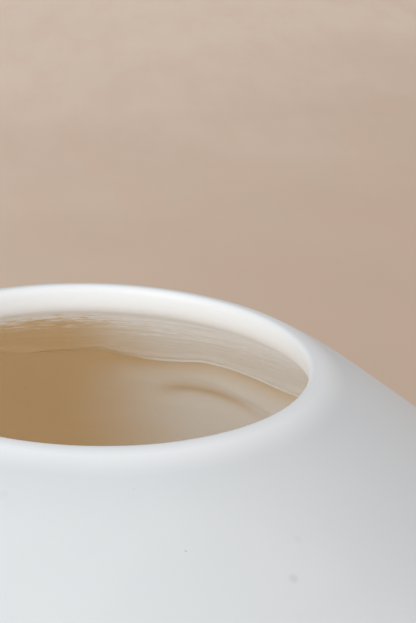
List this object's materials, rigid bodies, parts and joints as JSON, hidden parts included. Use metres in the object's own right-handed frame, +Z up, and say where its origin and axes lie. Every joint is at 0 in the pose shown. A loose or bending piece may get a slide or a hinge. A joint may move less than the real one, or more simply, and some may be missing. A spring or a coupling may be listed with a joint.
{
  "type": "moon jar",
  "caption": "Nearly round thrown stoneware jar with a white matt coat, a bare inside, a wide rolled mouth and a low turned foot, luted from bowls at the belly.",
  "frame": {"origin": "middle of the foot's resting face, which is the bottom centre of the jar", "axes": "+Z up along the jar's axis through the mouth, +X and +Y across the round body, which has no front"},
  "size_m": [0.264, 0.264, 0.236],
  "materials": {
    "bare_foot": "bare fired clay, matt",
    "fired_slip": "fired joint slip, matt",
    "bare_stoneware": "bare buff stoneware, matt, with throwing rings",
    "white_coat": "white satin matt glaze with faint specks and pinholes"
  },
  "bodies": {
    "root": {"foot_ring": "bare_foot", "foot_slip": "fired_slip", "lower_bowl": "bare_stoneware", "belly_slip": "fired_slip", "belly_coil": "bare_stoneware", "upper_bowl": "bare_stoneware", "mouth_slip": "fired_slip", "mouth_lip": "bare_stoneware", "outer_glaze": "white_coat"}
  },
  "joints": []
}
